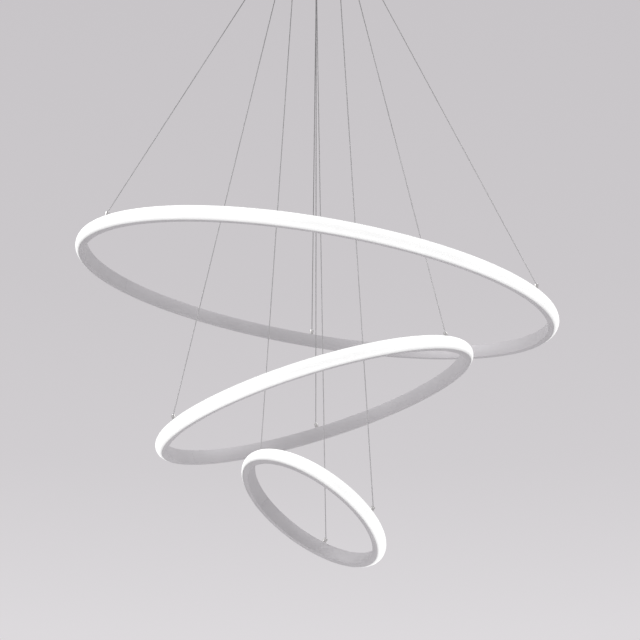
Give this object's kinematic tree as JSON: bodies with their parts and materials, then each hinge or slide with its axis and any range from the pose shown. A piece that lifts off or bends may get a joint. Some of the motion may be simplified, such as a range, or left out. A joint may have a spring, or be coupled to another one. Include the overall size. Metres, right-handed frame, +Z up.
{
  "type": "led ring chandelier",
  "caption": "Ceiling pendant of slanted lit rings in falling sizes, each hung on thin steel wires from a round canopy with push-release wire grippers.",
  "frame": {"origin": "on the ceiling plane, in the middle of the round canopy, between the two ceiling slots", "axes": "+Z up, away from the rings; +X to the right as the picture sees it; +Y away from the viewer, towards the far side of the rings"},
  "size_m": [0.592, 0.59, 0.8724],
  "materials": {
    "canopy": "satin silver lacquer",
    "zinc_steel": "zinc plated",
    "spring_steel": "bright drawn",
    "nickel": "satin nickel plated brass",
    "driver_case": "moulded, fine texture",
    "terminal": "moulded",
    "channel": "satin anodised",
    "opal": "opal diffusing, lit",
    "board": "white solder mask",
    "chips": "phosphor, lit",
    "wire": "clear coated stranded steel"
  },
  "bodies": {
    "ceiling_fixing": {"canopy_shell": "canopy", "ceiling_bracket": "zinc_steel", "side_screws": "nickel", "gripper_bodies": "nickel", "gripper_nuts": "nickel", "gripper_springs": "spring_steel", "led_drivers": "driver_case", "driver_screws": "zinc_steel", "terminal_block": "terminal", "wire_large_left": "wire", "wire_large_right": "wire", "wire_large_far": "wire", "wire_middle_left": "wire", "wire_middle_right": "wire", "wire_middle_far": "wire", "wire_small_left": "wire", "wire_small_right": "wire", "wire_small_far": "wire"},
    "large_lift": {"large_ball_left": "spring_steel"},
    "large_sway": {"large_ball_right": "spring_steel"},
    "large_ring": {"large_channel": "channel", "large_diffuser": "opal", "large_led_board": "board", "large_led_chips": "chips", "large_joining_keys": "zinc_steel", "large_key_screws": "zinc_steel", "large_hanger_cups": "nickel", "large_hanger_nuts": "zinc_steel", "large_ball_far": "spring_steel"},
    "middle_lift": {"middle_ball_left": "spring_steel"},
    "middle_sway": {"middle_ball_right": "spring_steel"},
    "middle_ring": {"middle_channel": "channel", "middle_diffuser": "opal", "middle_led_board": "board", "middle_led_chips": "chips", "middle_joining_keys": "zinc_steel", "middle_key_screws": "zinc_steel", "middle_hanger_cups": "nickel", "middle_hanger_nuts": "zinc_steel", "middle_ball_far": "spring_steel"},
    "small_lift": {"small_ball_left": "spring_steel"},
    "small_sway": {"small_ball_right": "spring_steel"},
    "small_ring": {"small_channel": "channel", "small_diffuser": "opal", "small_led_board": "board", "small_led_chips": "chips", "small_joining_keys": "zinc_steel", "small_key_screws": "zinc_steel", "small_hanger_cups": "nickel", "small_hanger_nuts": "zinc_steel", "small_ball_far": "spring_steel"},
    "large_left_plunger": {"plunger_large_left": "nickel"},
    "large_right_plunger": {"plunger_large_right": "nickel"},
    "large_far_plunger": {"plunger_large_far": "nickel"},
    "middle_left_plunger": {"plunger_middle_left": "nickel"},
    "middle_right_plunger": {"plunger_middle_right": "nickel"},
    "middle_far_plunger": {"plunger_middle_far": "nickel"},
    "small_left_plunger": {"plunger_small_left": "nickel"},
    "small_right_plunger": {"plunger_small_right": "nickel"},
    "small_far_plunger": {"plunger_small_far": "nickel"}
  },
  "joints": [
    {"name": "large_height", "type": "slide", "parent": "ceiling_fixing", "child": "large_lift", "axis": [0, 0, 1], "range_m": [-0.1, 0.15], "deforming": ["wire_large_left", "wire_large_right", "wire_large_far"]},
    {"name": "large_sway", "type": "hinge", "parent": "large_lift", "child": "large_sway", "pos_m": [-0.24262, -0.16609, -0.51514], "axis": [0.0536, -0.9986, 0], "range_deg": [-12, 14]},
    {"name": "large_nod", "type": "hinge", "parent": "large_sway", "child": "large_ring", "pos_m": [-0.24262, -0.16609, -0.51514], "axis": [0.9865, 0.053, -0.1552], "range_deg": [-13, 13]},
    {"name": "middle_height", "type": "slide", "parent": "ceiling_fixing", "child": "middle_lift", "axis": [0, 0, 1], "range_m": [-0.1, 0.12], "deforming": ["wire_middle_left", "wire_middle_right", "wire_middle_far"]},
    {"name": "middle_sway", "type": "hinge", "parent": "middle_lift", "child": "middle_sway", "pos_m": [-0.16553, -0.07618, -0.732], "axis": [-0.0781, -0.9969, 0], "range_deg": [-13, 13]},
    {"name": "middle_nod", "type": "hinge", "parent": "middle_sway", "child": "middle_ring", "pos_m": [-0.16553, -0.07618, -0.732], "axis": [0.9551, -0.0748, 0.2867], "range_deg": [-13, 13]},
    {"name": "small_height", "type": "slide", "parent": "ceiling_fixing", "child": "small_lift", "axis": [0, 0, 1], "range_m": [-0.12, 0.12], "deforming": ["wire_small_left", "wire_small_right", "wire_small_far"]},
    {"name": "small_sway", "type": "hinge", "parent": "small_lift", "child": "small_sway", "pos_m": [-0.06587, -0.00258, -0.75054], "axis": [-0.2395, -0.9709, 0], "range_deg": [-14, 14]},
    {"name": "small_nod", "type": "hinge", "parent": "small_sway", "child": "small_ring", "pos_m": [-0.06587, -0.00258, -0.75054], "axis": [0.84, -0.2072, -0.5014], "range_deg": [-14, 14]},
    {"name": "large_left_release", "type": "slide", "parent": "ceiling_fixing", "child": "large_left_plunger", "axis": [0, 0, 1], "range_m": [0, 0.0025], "stiffness_N_per_m": 800, "springref_m": -0.002, "deforming": ["gripper_springs"]},
    {"name": "large_right_release", "type": "slide", "parent": "ceiling_fixing", "child": "large_right_plunger", "axis": [0, 0, 1], "range_m": [0, 0.0025], "stiffness_N_per_m": 800, "springref_m": -0.002, "deforming": ["gripper_springs"]},
    {"name": "large_far_release", "type": "slide", "parent": "ceiling_fixing", "child": "large_far_plunger", "axis": [0, 0, 1], "range_m": [0, 0.0025], "stiffness_N_per_m": 800, "springref_m": -0.002, "deforming": ["gripper_springs"]},
    {"name": "middle_left_release", "type": "slide", "parent": "ceiling_fixing", "child": "middle_left_plunger", "axis": [0, 0, 1], "range_m": [0, 0.0025], "stiffness_N_per_m": 800, "springref_m": -0.002, "deforming": ["gripper_springs"]},
    {"name": "middle_right_release", "type": "slide", "parent": "ceiling_fixing", "child": "middle_right_plunger", "axis": [0, 0, 1], "range_m": [0, 0.0025], "stiffness_N_per_m": 800, "springref_m": -0.002, "deforming": ["gripper_springs"]},
    {"name": "middle_far_release", "type": "slide", "parent": "ceiling_fixing", "child": "middle_far_plunger", "axis": [0, 0, 1], "range_m": [0, 0.0025], "stiffness_N_per_m": 800, "springref_m": -0.002, "deforming": ["gripper_springs"]},
    {"name": "small_left_release", "type": "slide", "parent": "ceiling_fixing", "child": "small_left_plunger", "axis": [0, 0, 1], "range_m": [0, 0.0025], "stiffness_N_per_m": 800, "springref_m": -0.002, "deforming": ["gripper_springs"]},
    {"name": "small_right_release", "type": "slide", "parent": "ceiling_fixing", "child": "small_right_plunger", "axis": [0, 0, 1], "range_m": [0, 0.0025], "stiffness_N_per_m": 800, "springref_m": -0.002, "deforming": ["gripper_springs"]},
    {"name": "small_far_release", "type": "slide", "parent": "ceiling_fixing", "child": "small_far_plunger", "axis": [0, 0, 1], "range_m": [0, 0.0025], "stiffness_N_per_m": 800, "springref_m": -0.002, "deforming": ["gripper_springs"]}
  ]
}
